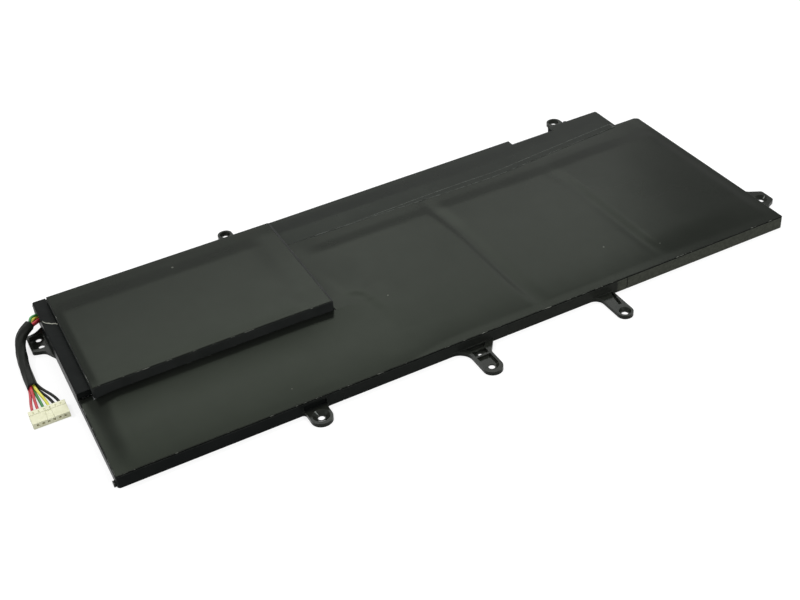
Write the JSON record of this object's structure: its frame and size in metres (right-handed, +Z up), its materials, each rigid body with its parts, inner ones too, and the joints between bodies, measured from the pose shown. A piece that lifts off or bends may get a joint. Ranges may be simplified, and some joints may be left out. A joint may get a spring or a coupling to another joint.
{
  "type": "laptop battery pack",
  "caption": "Flat internal laptop battery pack: pouch cells in a black frame with screw ears, a raised cell module, an electronics strip and a short cable with an ivory plug.",
  "frame": {"origin": "middle of the underside of the pack with its ears, the cable left out", "axes": "+X along the pack away from the cable end, +Y to the back with the electronics strip, +Z up out of the film side"},
  "size_m": [0.3064, 0.1416, 0.0109],
  "materials": {
    "black_moulding": "glossy black injection moulding",
    "dark_film": "dark grey satin film",
    "black_tape": "thin black tape",
    "cell_foil": "satin laminated foil pouch",
    "aluminium": "bare aluminium strip",
    "nickel": "bare nickel strip",
    "amber_flex": "amber flexible circuit",
    "green_board": "green solder mask",
    "black_chip": "moulded black package",
    "pale_ceramic": "pale ceramic body",
    "grey_sheet": "thin grey insulating sheet",
    "clear_adhesive": "thin double-sided adhesive",
    "black_sleeve": "matt black tubing",
    "wire_red": "red insulation",
    "wire_green": "green insulation",
    "wire_yellow": "yellow insulation",
    "wire_black": "black insulation",
    "ivory_plug": "ivory moulded nylon",
    "contact_brass": "tinned brass crimp contacts"
  },
  "bodies": {
    "root": {"frame": "black_moulding", "end_bar": "black_moulding", "module_frame": "black_moulding", "top_film": "dark_film", "module_film": "dark_film", "strip_cover": "dark_film", "bottom_film": "dark_film", "exit_tape": "black_tape", "aluminium_tabs": "aluminium", "nickel_tabs": "nickel", "weld_pads": "nickel", "flex_link": "amber_flex", "circuit_board": "green_board", "mosfets": "black_chip", "gauge_chip": "black_chip", "sense_resistor": "black_chip", "fuse": "pale_ceramic", "thermistor": "black_chip", "chip_parts": "pale_ceramic", "insulation_sheet": "grey_sheet", "cell_adhesive": "clear_adhesive", "cable_sleeve": "black_sleeve", "plug_housing": "ivory_plug", "plug_contacts": "contact_brass", "cell_1": "cell_foil", "cell_2": "cell_foil", "cell_3": "cell_foil", "cell_4": "cell_foil", "cell_5": "cell_foil", "upper_cell": "cell_foil", "wire_red_1": "wire_red", "wire_red_2": "wire_red", "wire_green": "wire_green", "wire_yellow": "wire_yellow", "wire_black_1": "wire_black", "wire_black_2": "wire_black"}
  },
  "joints": []
}
